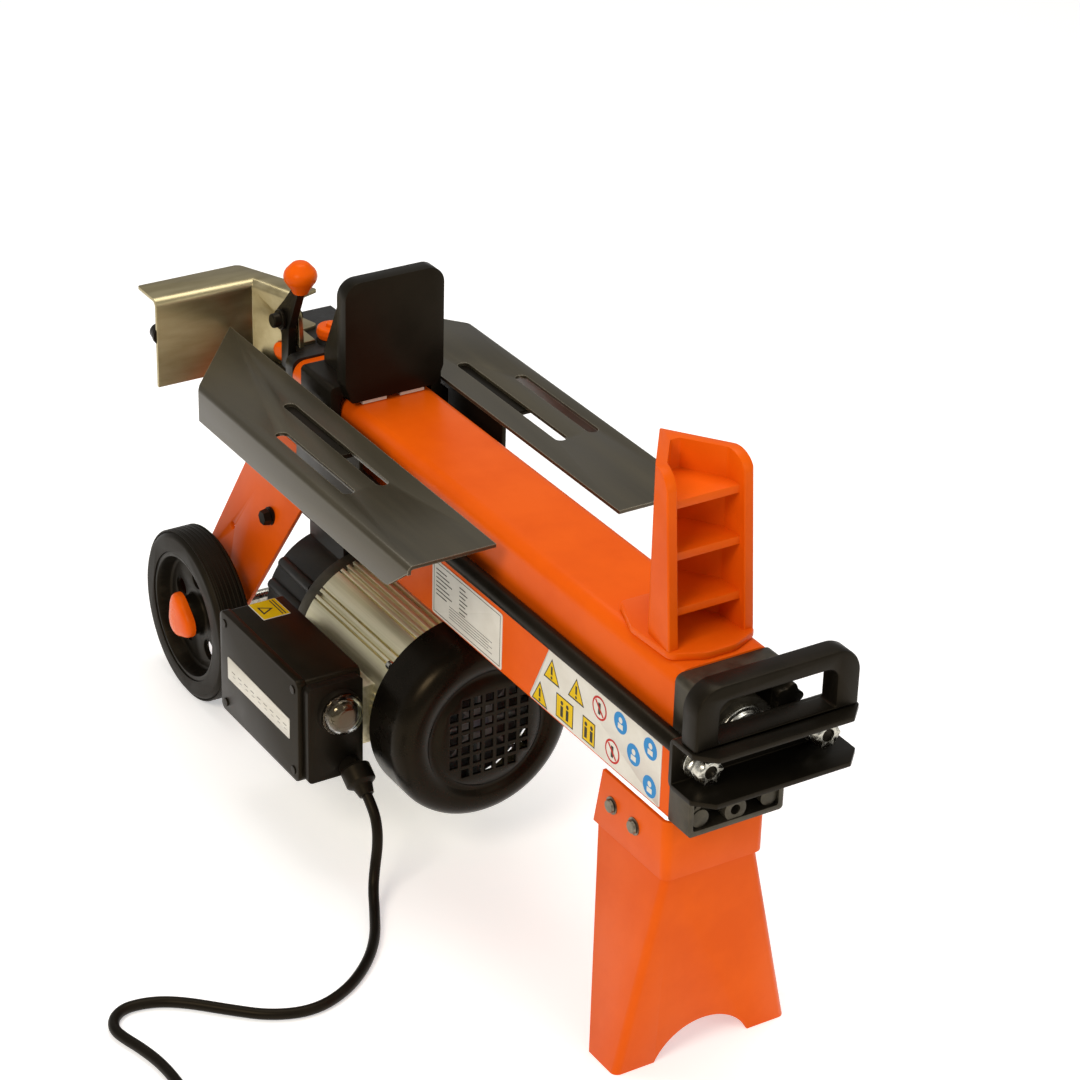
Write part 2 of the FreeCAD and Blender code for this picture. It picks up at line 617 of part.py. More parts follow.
def channelPlan(front, half, back, wall, bend):
    # seen from above: a U of sheet that is open to the rear
    return [(front, -half, bend), (front, half, bend), (back, half), (back, half - wall),
            (front - wall, half - wall, bend - wall), (front - wall, wall - half, bend - wall),
            (back, wall - half), (back, -half)]


def rearLegs():
    plates = {}
    for name, side in (("left", -1), ("right", 1)):
        sections = []
        for height, back, front, inside in ((55, -702, -617, 72), (209, -638, -538, 40),
                                            (262, -621, -514, 40)):
            outside = inside + 4
            sections.append((height, [(back, side * inside), (front, side * inside),
                                      (front, side * outside), (back, side * outside)]))
        plate = tapered(sections)
        holes = [rod("Y", -120, 120, "wheelX", "wheelRadius", "axleRadius+0.05"),
                 rod("Y", -120, 120, -641, 147, 3.5)]
        subPart("rear_leg_" + name, cut(plate, *holes))


def wheels():
    subPart("wheel_axle", rod("Y", "-wheelOuter-2", "wheelOuter+2", "wheelX", "wheelRadius",
                              "axleRadius"))
    for name, side in (("left", -1), ("right", 1)):
        inner, outer = side * s.wheelInner, side * s.wheelOuter
        wide = s.wheelOuter - s.wheelInner
        centre = (s.wheelX, inner, s.wheelRadius)
        out = side
        tyre = turned("Y", centre, along(out, [
            (0, 57), (0, 72, 3), (6, 75, 2), (wide - 6, 75, 2), (wide, 71, 4), (wide, 57)]))
        subPart(name + "_tyre", tyre)
        disc = turned("Y", centre, along(out, [
            (2, s.axleRadius + 0.05), (2, 15), (12, 17, 3), (12, 50, 3), (1, 53), (1, 57),
            (wide - 1, 57), (wide - 1, 53), (17, 50, 3), (17, 18, 3), (wide - 2, 16),
            (wide - 2, s.axleRadius + 0.05)]))
        windows = []
        for k in range(5):
            angle = math.radians(72 * k + 18)
            windows.append(rod("Y", -120, 120, s.wheelX + 33 * math.cos(angle),
                               s.wheelRadius + 33 * math.sin(angle), 9))
        subPart(name + "_rim", cut(disc, *windows))
        cap = turned("Y", (s.wheelX, outer, s.wheelRadius), along(out, [
            (-1.8, 8), (-1.8, 21, 2), (4.5, 21, 3), (7, 14, 2), (7, 0), (4.5, 0), (4.5, 8)]))
        subPart(name + "_hub_cap", cap)


def along(way, points):
    return [(way * point[0], *point[1:]) for point in points]


# ---------------------------------------------------------------- log bed
def cradle(name, side):
    # a flat plate with a folded-down outer edge; the rear corner is cut on the slant
    top, sheetThick = s.bedTop, s.bedSheet
    inner, outer = side * s.bedInner, side * s.bedOuter
    low = top - s.bedFlange
    folded = sheetMetal("YZ", "bedBack", "bedFront", [[
        (inner, top), (outer, top, 4.5), (outer, low), (outer - side * sheetThick, low),
        (outer - side * sheetThick, top - sheetThick, 1.5), (inner, top - sheetThick)]])
    plan = sheetMetal("XY", low - 1, top + 1, [[
        (s.bedFront, side * 50), (s.bedFront, side * 130), (s.bedCut - 4, side * 130),
        (s.bedBack, inner), (s.bedBack, side * 50)]])
    front = sheetMetal("XZ", min(side * 120, side * 130), max(side * 120, side * 130), [[
        (s.bedFront + 1, top - 7), (s.bedFront + 1, low - 1), (-258, low - 1), (-246, low + 1, 6),
        (s.bedFront - 2, top - 7, 3)]])
    slots = []
    for y, back in ((108, -452), (79, -494)):
        slots.append(sheetMetal("XY", top - 5, top + 2, [[
            (back, side * y - 5, 4.9), (-336, side * y - 5, 4.9), (-336, side * y + 5, 4.9),
            (back, side * y + 5, 4.9)]]))
    subPart(name, cut(common(folded, plan), front, *slots))


def cradleBrackets():
    pieces = []
    for side in (-1, 1):
        points = [(40, 232), (44, 232), (44, 268, 1), (66, 268, 5), (66, 323, 1), (98, 323),
                  (98, 327), (62, 327, 5), (62, 272, 1), (40, 272, 5)]
        pieces.append(sheetMetal("YZ", -505, -400, [[(side * p[0], *p[1:]) for p in points]]))
    subPart("cradle_brackets", *pieces)


def leverGuard():
    # a bent sheet that stands behind the lever: a wall across, a slanted wall, a folded top edge
    front, bend = s.guardFront, s.guardBend
    low, high, thick = 288, 366, 3
    fold = [(0, high, 7), (-44, high), (-44, high - thick), (-thick, high - thick, 4)]
    across = sheetMetal("XZ", -118, 0, [
        [(front, low)] + [(front + p[0], *p[1:]) for p in fold] + [(front - thick, low)]])
    slanted = sheetMetal("XZ", -30, 51, [
        [(0, s.guardBottom)] + fold + [(-thick, s.guardBottom)]])
    slanted.Placement = Placement(Vector(front, bend, 0), Rotation(Vector(0, 0, 1), -s.guardTurn))
    lean = math.tan(math.radians(s.guardTurn / 2))
    mitre = [(front + 1, bend - lean), (front - 17.8, bend + 17.8 * lean)]
    plans = [[(-683, -26, 8), (-683, -118, 2), (front + 1, -118)] + mitre,
             [(-599, -20), (-606, 9, 4)] + mitre[::-1]]
    walls = [common(sheet, sheetMetal("XY", low - 1, high + 1, [plan]))
             for sheet, plan in ((across, plans[0]), (slanted, plans[1]))]
    foot = sheetMetal("XY", "beamTop+2", "beamTop+5", [[
        (-636, -25.6), (-601.5, -14.1), (-606, 8, 4), (-634, 0, 4)]])
    x, z = s.leverX, s.leverZ
    ear = sheetMetal("XZ", -24, -20, [[
        (x - 13, s.beamTop + 2), (x + 13, s.beamTop + 2), (x + 10, z + 9, 9), (x - 10, z + 9, 9)]])
    tongue = block(-604, x + 10, -24, -8, "beamTop+2", "beamTop+5")
    guard = fuse(*walls, foot, ear, tongue)
    subPart("lever_guard", cut(guard, rod("Y", -30, -10, "leverX", "leverZ", 4.0)))


def frameBolts():
    # M8 bolts: on the leg's collar, the rear legs and the log bed's brackets; the guard's screws
    bolts = []
    collar = s.collarHalf
    for x, z in ((-66, 186), (-37, 185)):
        bolts.append(roundBolt("Y", -collar, -1, 7, x, z, head=6.8, rise=2.6))
        bolts.append(roundBolt("Y", collar, 1, 7, x, z, head=6.8, rise=2.6))
    bolts.append(roundBolt("X", s.legSheet, 1, 7, -9.6, 189, head=6.8, rise=2.6))
    for x, z in ((-584, 223), (-548, 246)):
        for side in (-1, 1):
            bolts.append(roundBolt("Y", side * 44, side, 5, x, z))
    for x in (-485, -420):
        for side in (-1, 1):
            bolts.append(roundBolt("Y", side * 44, side, 5, x, 250))
    for side in (-1, 1):
        bolts.append(turned("Y", (-584, side * 50.2, 181), [
            (side * along, across, *rest) for along, across, *rest in
            [(0, 0), (0, 8, 1), (7, 7, 2), (7, 0)]]))
    bolts.append(roundBolt("X", s.guardFront - 3, -1, 2.5, -112, 333, radius=3.0, head=8.5,
                           rise=9))
    bolts.append(roundBolt("Z", s.beamTop + 5, 1, 6, -616, -6, radius=3.0, head=6.0))
    subPart("frame_bolts", *bolts)


def smallScrews():
    # the screws of the box lid and the motor, and the cap screws of the front cap and rear head
    screws = lidScrews() + motorBolts()
    for y in (-29, 29):
        screws.append(turned("X", (8, y, s.beamTop - 13), [
            (-10, 0), (-10, 3), (0, 3), (0, 4.5), (7, 4.5, 0.8), (7, 2.2), (4, 2.2), (4, 0)]))
    for y in (-29, 29):
        for z in (s.beamBottom + 22, s.beamTop - 52):
            screws.append(turned("X", (-s.headBack, y, z), [
                (12, 0), (12, 3), (0, 3), (0, 5), (-6, 5, 0.8), (-6, 2.5), (-3, 2.5), (-3, 0)]))
    subPart("small_screws", *screws)


# ---------------------------------------------------------------- lever and valve
def lever():
    # the arm is cranked: its lower end pushes the spool, its upper end carries the knob
    x, y, z = s.leverX, s.leverY, s.leverZ
    arm = sheetMetal("XZ", y - 3.5, y + 3.5, [[
        (x - 3, z - 43, 2), (x + 8, z - 43, 2), (x + 11, z - 4, 6), (x + 29, z + 36, 3),
        (x + 19, z + 36, 3), (x + 2, z + 17, 8), (x - 10, z + 5, 6), (x - 10, z - 6, 6),
        (x - 2.5, z - 14, 4)]])
    subPart("control_lever", cut(arm, rod("Y", -40, -20, "leverX", "leverZ", 4.05)))
    knob = turned("Z", (x + 25.5, y, z + 34), [
        (-2, 0), (-2, 6), (2, 8, 2), (14, 16.2, 9), (25, 6, 7), (25.6, 0)])
    subPart("lever_knob", knob)
    pin = turned("Y", (x, 0, z), [
        (-43, 0), (-43, 6, 1.5), (-36.7, 6), (-36.7, 8.5, 1), (-33.2, 8.5), (-33.2, 4), (-16, 4),
        (-16, 0)])
    subPart("lever_pivot", pin)
    tip = rod("X", "leverX+9.7", "leverX+16", "leverY", "spoolHeight", 3)
    shank = rod("X", "leverX+13", "leverX+38", "leverY", "spoolHeight", "spoolRadius")
    subPart("valve_spool", fuse(tip, shank))


def bleedScrew():
    # a vent screw in the front cap with a lobed knob
    points = []
    for k in range(40):
        angle = math.radians(9 * k)
        radius = 10.5 + 1.5 * math.cos(5 * angle)
        points.append((32 + radius * math.cos(angle), 306 + radius * math.sin(angle)))
    knob = sheetMetal("YZ", 27, 35, [points])
    subPart("bleed_screw", fuse(knob, rod("X", 25.3, 30, 32, 306, 4)))


# ---------------------------------------------------------------- labels
def labels():
    face = -s.beamWidth / 2
    plate = sheetMetal("XZ", face - 0.4, face, [[
        (-330, 214, 2), (-226, 214, 2), (-226, 262, 2), (-330, 262, 2)]])
    symbols = sheetMetal("XZ", face - 0.4, face, [[
        (-186, 214, 2), (-11, 214, 2), (-11, 267, 2), (-160, 267, 2)]])
    lid = -s.boxOuter
    strip = sheetMetal("XZ", lid - 0.4, lid, [[
        (-465, 115, 1), (-359, 115, 1), (-359, 133, 1), (-465, 135, 1)]])
    sticker = sheetMetal("XY", s.boxTop, s.boxTop + 0.4, [[
        (-474, -127, 1), (-446, -127, 1), (-446, -103, 1), (-474, -103, 1)]])
    subPart("labels", plate, symbols, strip, sticker)


# ---------------------------------------------------------------- mains cord
coilX, coilY = -70.0, -403.0
coilBottom = 0.9
coilInner, coilOuter = 37.6, 54.9
floorLine = 4.6

cordRoute = [
    (-307.4, -110, 79.4), (-297, -110, 72.1), (-290, -110.5, 59.5), (-287, -112, 44),
    (-284, -116, 28.5), (-276, -122, 14.5), (-257, -131, 6.5), (-229, -146, floorLine),
    (-203, -168, floorLine), (-182, -196, floorLine), (-172, -228, floorLine),
    (-182, -259, floorLine), (-205, -284, floorLine), (-226, -305, floorLine),
    (-238, -322, floorLine), (-243, -338, floorLine), (-243, -351, floorLine),
    (-235.5, -361.8, floorLine), (-223.4, -366.8, floorLine), (-210.6, -364.4, floorLine),
    (-194, -359, floorLine), (-170, -354, floorLine), (-140, -353.5, floorLine),
    (-112, -355.5, 4.8), (-88, -352.8, 5.1), (coilX, coilY + 50.2, 5.15)]
tailRoute = [
    (coilX + 50.4, coilY, 13.65), (-19.2, -418, 13.6), (-19.6, -436, 10.5), (-23, -454, 8),
    (-31.5, -468, 10), (-44, -477, 14.5), (-60, -480, 18.6)]


def cordTube(label, route):
    # straight runs joined by tangent arcs, each as large as its two runs allow
    points = [Vector(*point) for point in route]
    edges = []
    radii = []
    last = points[0]
    for before, here, after in zip(points, points[1:], points[2:]):
        run = min(here.distanceToPoint(before), here.distanceToPoint(after))
        back = (before - here).normalize()
        ahead = (after - here).normalize()
        half = (math.pi - back.getAngle(ahead)) / 2
        radius = 0.45 * run / math.tan(half)
        radii.append(radius)
        middle = here + (back + ahead).normalize() * (radius / math.cos(half) - radius)
        start, end = here + back * 0.45 * run, here + ahead * 0.45 * run
        edges.append(Part.LineSegment(last, start).toShape())
        edges.append(Part.Arc(start, middle, end).toShape())
        last = end
    edges.append(Part.LineSegment(last, points[-1]).toShape())
    path = Part.Wire(edges)
    section = Part.Wire([Part.makeCircle(s.cordRadius, points[0], points[1] - points[0])])
    tube = path.makePipeShell([section], True, False)
    ideal = math.pi * s.cordRadius ** 2 * path.Length
    print("%s: length %.0f, volume ratio %.4f" % (label, path.Length, tube.Volume / ideal))
    print("  radii:", " ".join("%.0f" % radius for radius in radii))
    feature = doc.addObject("Part::Feature", "Tube")
    feature.Shape = tube
    subPart(label, feature)


def mainsCord():
    # the cord to the floor and along it, the put-away coil, and the tail that ends in the plug
    cordTube("power_cord", cordRoute)
    cordTube("cord_tail", tailRoute)
    top = coilBottom + 4 * s.cordRadius
    ring = [(coilBottom, coilInner), (coilBottom, coilOuter, 3), (top, coilOuter, 3),
            (top, coilInner)]
    subPart("cord_coil", turned("Z", (coilX, coilY, 0), ring))
    plug = turned("X", (-60, -480, 18.6), [
        (0, 0), (0, 5.5), (-22, 7.5), (-26, 11, 2), (-34, 13, 4), (-44, 18.3, 3), (-60, 18.3, 1.5),
        (-60, 0)])
    pins = [rod("X", -139, -119, -480 + side * 9.5, 18.6, 2.4) for side in (-1, 1)]
    subPart("mains_plug", fuse(plug, *pins))


for build in (beamTube, endCap, wedge, cylinder, rearHead, crossbar, liftHandle, ram, pusher,
              motorBody, coolingFan, fanCover, pump, switchBox, startSwitch, cableGland,
              frontLeg, rearLegs, wheels, cradleBrackets, leverGuard, frameBolts, smallScrews,
              lever, bleedScrew, labels, mainsCord):
    build()
cradle("cradle_left", -1)
cradle("cradle_right", 1)

doc.recompute()
faults = []
for thing in doc.Objects:
    if "Invalid" in thing.State or "Error" in thing.State:
        faults.append("%s (%s): %s" % (thing.Name, thing.TypeId, thing.State))
for part in subParts:
    if part.Shape.isNull() or not part.Shape.isValid() or not part.Shape.Solids:
        faults.append("bad shape: " + part.Label)
if faults:
    raise SystemExit("\n".join(faults))

os.makedirs("parts", exist_ok=True)
for part in subParts:
    part.Shape.exportStep("parts/%s.step" % part.Label)
box = Part.makeCompound([part.Shape for part in subParts
                         if not part.Label.startswith(("power", "cord", "mains"))]).BoundBox
print(len(subParts), "sub-parts")
print("box", box)
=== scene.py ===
import bmesh
import bpy
import json
import math
from mathutils import Matrix, Vector


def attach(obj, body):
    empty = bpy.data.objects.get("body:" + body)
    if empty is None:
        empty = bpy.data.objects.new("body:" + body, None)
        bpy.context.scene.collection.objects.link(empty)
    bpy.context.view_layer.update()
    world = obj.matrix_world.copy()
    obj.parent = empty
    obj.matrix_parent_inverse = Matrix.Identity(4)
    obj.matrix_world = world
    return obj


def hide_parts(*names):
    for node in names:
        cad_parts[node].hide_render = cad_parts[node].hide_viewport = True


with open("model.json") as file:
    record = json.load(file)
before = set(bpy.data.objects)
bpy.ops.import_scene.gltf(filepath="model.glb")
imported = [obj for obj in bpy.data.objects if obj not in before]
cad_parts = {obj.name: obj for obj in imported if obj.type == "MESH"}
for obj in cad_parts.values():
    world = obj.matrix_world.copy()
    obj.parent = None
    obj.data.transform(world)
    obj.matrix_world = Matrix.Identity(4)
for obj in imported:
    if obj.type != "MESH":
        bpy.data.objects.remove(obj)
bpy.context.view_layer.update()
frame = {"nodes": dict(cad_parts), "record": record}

mm = 0.001
print("frame loaded:", len(frame["nodes"]), "nodes")


def millimetres(x, y, z):
    return Vector((x * mm, y * mm, z * mm))


# the camera stands at the front left and looks down on the beam
cameraSetup = {
    "place": (1872, -1120, 1453),     # mm in the frame
    "azimuth": 57.79,                 # degrees, 0 looks along +Y
    "elevation": 28.34,
    "roll": 1.61,
    "lens": 108.2,                    # mm
    "sensor": 36,                     # mm
    "farthest": 50,                   # m
}


def makeCamera(setup):
    azimuth, elevation, roll = (math.radians(setup[k]) for k in ("azimuth", "elevation", "roll"))
    back = Vector((math.sin(azimuth) * math.cos(elevation),
                   -math.cos(azimuth) * math.cos(elevation), math.sin(elevation)))
    level = Vector((math.cos(azimuth), math.sin(azimuth), 0))
    above = back.cross(level)
    right = level * math.cos(roll) + above * math.sin(roll)
    up = above * math.cos(roll) - level * math.sin(roll)
    data = bpy.data.cameras.new("camera")
    data.lens = setup["lens"]
    data.sensor_width = setup["sensor"]
    data.clip_end = setup["farthest"]
    camera = bpy.data.objects.new("camera", data)
    bpy.context.scene.collection.objects.link(camera)
    turn = Matrix((right, up, back)).transposed().to_4x4()
    camera.matrix_world = Matrix.Translation(millimetres(*setup["place"])) @ turn
    bpy.context.scene.camera = camera


makeCamera(cameraSetup)
print("camera placed")


def colour(code):
    # sRGB hex to the linear values that a shader takes
    parts = [int(code[k:k + 2], 16) / 255 for k in (1, 3, 5)]
    return tuple(p / 12.92 if p <= 0.04045 else ((p + 0.055) / 1.055) ** 2.4 for p in parts) + (1,)


def add(tree, kind, values=None, links=None, **settings):
    # one node with its settings, its plain socket values and what is linked into it
    node = tree.nodes.new(kind)
    for name, value in settings.items():
        setattr(node, name, value)
    for socket, value in (values or {}).items():
        node.inputs[socket].default_value = value
    for socket, source in (links or {}).items():
        tree.links.new(source, node.inputs[socket])
    return node


def surface(name, base, shade, cloud=40, rough=0.4, spread=0.06, grain=1.5, depth=0.02,
            metal=0.0, stretch=(1, 1, 1)):
    # two close tones in clouds, an uneven gloss and a fine relief; cloud, grain, depth in mm
    material = bpy.data.materials.new(name)
    material.use_nodes = True
    tree = material.node_tree
    tree.nodes.clear()
    place = add(tree, "ShaderNodeTexCoord")
    turned = add(tree, "ShaderNodeMapping", {"Scale": stretch}, {"Vector": place.outputs["Object"]})
    clouds = add(tree, "ShaderNodeTexNoise", {"Scale": 1 / (cloud * mm), "Detail": 5.0,
                                              "Roughness": 0.6},
                 {"Vector": turned.outputs["Vector"]})
    tone = add(tree, "ShaderNodeValToRGB", links={"Fac": clouds.outputs["Fac"]})
    for stop, at, code in zip(tone.color_ramp.elements, (0.38, 0.62), (base, shade)):
        stop.position = at
        stop.color = colour(code)
    skin = add(tree, "ShaderNodeTexNoise", {"Scale": 1 / (grain * mm), "Detail": 2.0},
               {"Vector": turned.outputs["Vector"]})
    gloss = add(tree, "ShaderNodeMapRange", {"From Min": 0.3, "From Max": 0.7,
                                             "To Min": rough - spread, "To Max": rough + spread},
                {"Value": clouds.outputs["Fac"]})
    bump = add(tree, "ShaderNodeBump", {"Distance": depth * mm, "Strength": 0.6},
               {"Height": skin.outputs["Fac"]})
    shader = add(tree, "ShaderNodeBsdfPrincipled",
                 {"Metallic": metal,
                  "Specular IOR Level": 0.5 if metal else 0.13,
                  "Specular Tint": colour("#FFFFFF" if metal else "#FFE3B6")},
                 {"Base Color": tone.outputs["Color"], "Roughness": gloss.outputs["Result"],
                  "Normal": bump.outputs["Normal"]})
    add(tree, "ShaderNodeOutputMaterial", links={"Surface": shader.outputs["BSDF"]})
    return material


def wornAndHighlitCoating(name):
    # satin coating on the log bed's sheet: the logs have rubbed it to bare steel in long scratches,
    # so it shines in streaks; the light colour along its edges is partly bare steel where the logs
    # rub and partly a painted highlight
    material = surface(name, "#3F3A2E", "#504938", 60, 0.36, 0.08, 1.2, 0.015, 0.45,
                       (0.08, 1, 1))
    tree = material.node_tree
    shader = tree.nodes["Principled BSDF"]
    tone = tree.nodes["Color Ramp"]
    rounded = add(tree, "ShaderNodeBevel", {"Radius": 1.2 * mm}, samples=4)
    plain = add(tree, "ShaderNodeNewGeometry")
    facing = add(tree, "ShaderNodeVectorMath", operation="DOT_PRODUCT",
                 links={0: rounded.outputs["Normal"], 1: plain.outputs["Normal"]})
    # lighter colour on the edges and bends: partly wear to bare steel, partly a painted highlight
    edgeWearAndHighlight = add(tree, "ShaderNodeMapRange", {"From Min": 0.98, "From Max": 0.75, "To Max": 0.8},
               {"Value": facing.outputs["Value"]})
    wearAndHighlight = add(tree, "ShaderNodeMix", {7: colour("#B9AF98")},
               {"Factor": edgeWearAndHighlight.outputs["Result"], 6: tone.outputs["Color"]}, data_type="RGBA")
    tree.links.new(wearAndHighlight.outputs[2], shader.inputs["Base Color"])
    return material


def clearDome(name):
    # clear polycarbonate: you look through it, with hard highlights
    material = surface(name, "#E4E9EA", "#E9EEF0", 8, 0.08, 0.03, 3, 0.005)
    shader = material.node_tree.nodes["Principled BSDF"]
    shader.inputs["Transmission Weight"].default_value = 1.0
    shader.inputs["Specular IOR Level"].default_value = 0.5
    shader.inputs["IOR"].default_value = 1.58
    return material


finishes = {
    # name, two tones, size of the clouds in mm, roughness and how far it varies, size of the
    # grain and its depth in mm, how metallic, and how the pattern is squeezed along x, y, z
    # powder coat on steel: full, even colour, soft gloss, orange peel of 1 to 2 mm
    "orangePaint": surface("orangePowderCoat", "#E25A08", "#DA5305", 70, 0.36, 0.05, 1.6, 0.012),
    "blackPaint": surface("blackPowderCoat", "#100E0A", "#17140F", 50, 0.36, 0.06, 1.6, 0.02),
    "bedCoating": wornAndHighlitCoating("wornHighlitDarkCoating"),
    # die casting: dull, a little cloudy, with a sandy skin of about 1 mm grit
    "dieCast": surface("dieCastAluminium", "#3A352A", "#4D473A", 14, 0.46, 0.08, 1.0, 0.05, 0.7),
    "castIron": surface("paintedCastIron", "#15120E", "#201C16", 12, 0.46, 0.08, 1.1, 0.06, 0.3),
    # extruded aluminium: bright, with fine lines along the extrusion
    "motorAluminium": surface("extrudedAluminium", "#D9D1AC", "#F0E8C8", 4, 0.4, 0.06, 0.8,
                              0.012, 0.9, (0.02, 1, 1)),
    # ground stainless sheet: fine lines, which draw a highlight out across them
    "guardSteel": surface("brushedStainless", "#A3956F", "#B5A883", 18, 0.36, 0.05, 0.8, 0.008,
                          1.0, (1, 0.2, 1)),
    "machinedSteel": surface("turnedSteel", "#8E8E8C", "#B5B5B2", 6, 0.3, 0.06, 0.8, 0.01, 1.0,
                             (1, 0.1, 0.1)),
    "chrome": surface("hardChrome", "#C9CACC", "#DCDDDF", 6, 0.1, 0.03, 0.8, 0.004, 1.0),
    # bright zinc on fasteners: a clean silver in faint clouds
    "zinc": surface("brightZinc", "#A9A69A", "#D2CFC4", 3, 0.26, 0.07, 2.0, 0.01, 1.0),
    "dullZinc": surface("weatheredZinc", "#6F6A5C", "#8A8473", 3, 0.4, 0.08, 1.5, 0.02, 0.9),
    # stacked sheet steel: lines every 1.5 mm, coarser than real so that they show
    "laminations": surface("laminatedSteel", "#55555A", "#83838A", 1.5, 0.5, 0.06, 1.5, 0.05,
                           0.9, (1, 0.02, 0.02)),
    # moulded plastics: even colour, a fine eroded grain and a soft sheen on it
    "blackPlastic": surface("grainedBlackNylon", "#100E0A", "#16130F", 25, 0.4, 0.06, 0.9, 0.02),
    "boxPlastic": surface("blackAbs", "#14110B", "#1A160F", 30, 0.34, 0.05, 1.2, 0.008),
    "coverPlastic": surface("blackPolypropylene", "#0B0906", "#110E0A", 30, 0.28, 0.05, 1.6,
                            0.01),
    "wheelPlastic": surface("wheelPolypropylene", "#0F0D09", "#15120D", 30, 0.36, 0.06, 1.2,
                            0.015),
    "tyreRubber": surface("hardTyreRubber", "#100E0A", "#171410", 30, 0.5, 0.06, 1.5, 0.03),
    "orangePlastic": surface("orangeAbs", "#E85D07", "#E05504", 30, 0.3, 0.05, 1.2, 0.008),
    "buttonPlastic": surface("darkButtonAbs", "#15150F", "#1C1C15", 20, 0.3, 0.05, 1.0, 0.008),
    "greyPlastic": surface("greyNylon", "#6F716F", "#7C7E7B", 30, 0.48, 0.06, 1.0, 0.02),
    "acetal": surface("naturalAcetal", "#D9D3C2", "#CCC5B2", 30, 0.4, 0.05, 1.0, 0.01),
    "cordRubber": surface("cordRubber", "#0D0B09", "#13110E", 25, 0.42, 0.06, 0.8, 0.012),
    # printed film: smooth and slightly glossy
    "whiteFoil": surface("whiteFoil", "#DDD9CE", "#D5D0C4", 30, 0.4, 0.04, 1.5, 0.004),
    "yellowFoil": surface("yellowFoil", "#E2BC0C", "#DAB308", 30, 0.4, 0.04, 1.5, 0.004),
    "blueFoil": surface("blueFoil", "#2A86C4", "#2580BD", 30, 0.4, 0.04, 1.5, 0.004),
    "redFoil": surface("redFoil", "#BE2A26", "#B62420", 30, 0.4, 0.04, 1.5, 0.004),
    "inkFoil": surface("inkFoil", "#35322B", "#3E3B33", 30, 0.45, 0.04, 1.5, 0.004),
    "clear": clearDome("clearPolycarbonate"),
}
print("materials made:", len(finishes))


# which body each node rides on
bodyOf = {node: body for body, nodes in frame["record"]["behaviour"]["bodies"].items()
          for node in nodes}


def newPiece(name, mesh, finish, body, nodes=()):
    piece = bpy.data.objects.new(name, mesh)
    bpy.context.scene.collection.objects.link(piece)
    mesh.materials.clear()
    mesh.materials.append(finishes[finish])
    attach(piece, body)
    if nodes:
        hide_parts(*nodes)


def plainMesh(piece, name):
    # the piece with its modifiers applied, as a plain mesh
    bpy.context.view_layer.update()
    graph = bpy.context.evaluated_depsgraph_get()
    mesh = bpy.data.meshes.new_from_object(piece.evaluated_get(graph))
    mesh.name = name
    return mesh


crease = math.radians(32)         # edges that turn more than this stay sharp
edgeWork = {
    "merge": 0.004,               # mm between corners that become one
    "flat": math.radians(0.6),    # faces that turn less than this become one
    "segments": 2,
}


def finished(node, finish, bevel):
    # a node's own shape, merged, with its edges rounded by a real radius in mm and shaded
    # smooth; one with no rounding keeps its triangles
    mesh = frame["nodes"][node].data.copy()
    shape = bmesh.new()
    shape.from_mesh(mesh)
    bmesh.ops.remove_doubles(shape, verts=shape.verts, dist=edgeWork["merge"] * mm)
    if bevel:
        bmesh.ops.dissolve_limit(shape, angle_limit=edgeWork["flat"], verts=shape.verts,
                                 edges=shape.edges)
    shape.to_mesh(mesh)
    shape.free()
    holder = bpy.data.objects.new("holder", mesh)
    bpy.context.scene.collection.objects.link(holder)
    if bevel:
        rounding = holder.modifiers.new("rounding", "BEVEL")
        rounding.width = bevel * mm
        rounding.segments = edgeWork["segments"]
        rounding.limit_method = "ANGLE"
        rounding.angle_limit = crease
        rounding.miter_outer = "MITER_ARC"
    done = plainMesh(holder, node)
    bpy.data.objects.remove(holder)
    done.polygons.foreach_set("use_smooth", [True] * len(done.polygons))
    done.set_sharp_from_angle(angle=crease)
    newPiece(node + "_piece", done, finish, bodyOf[node], [node])


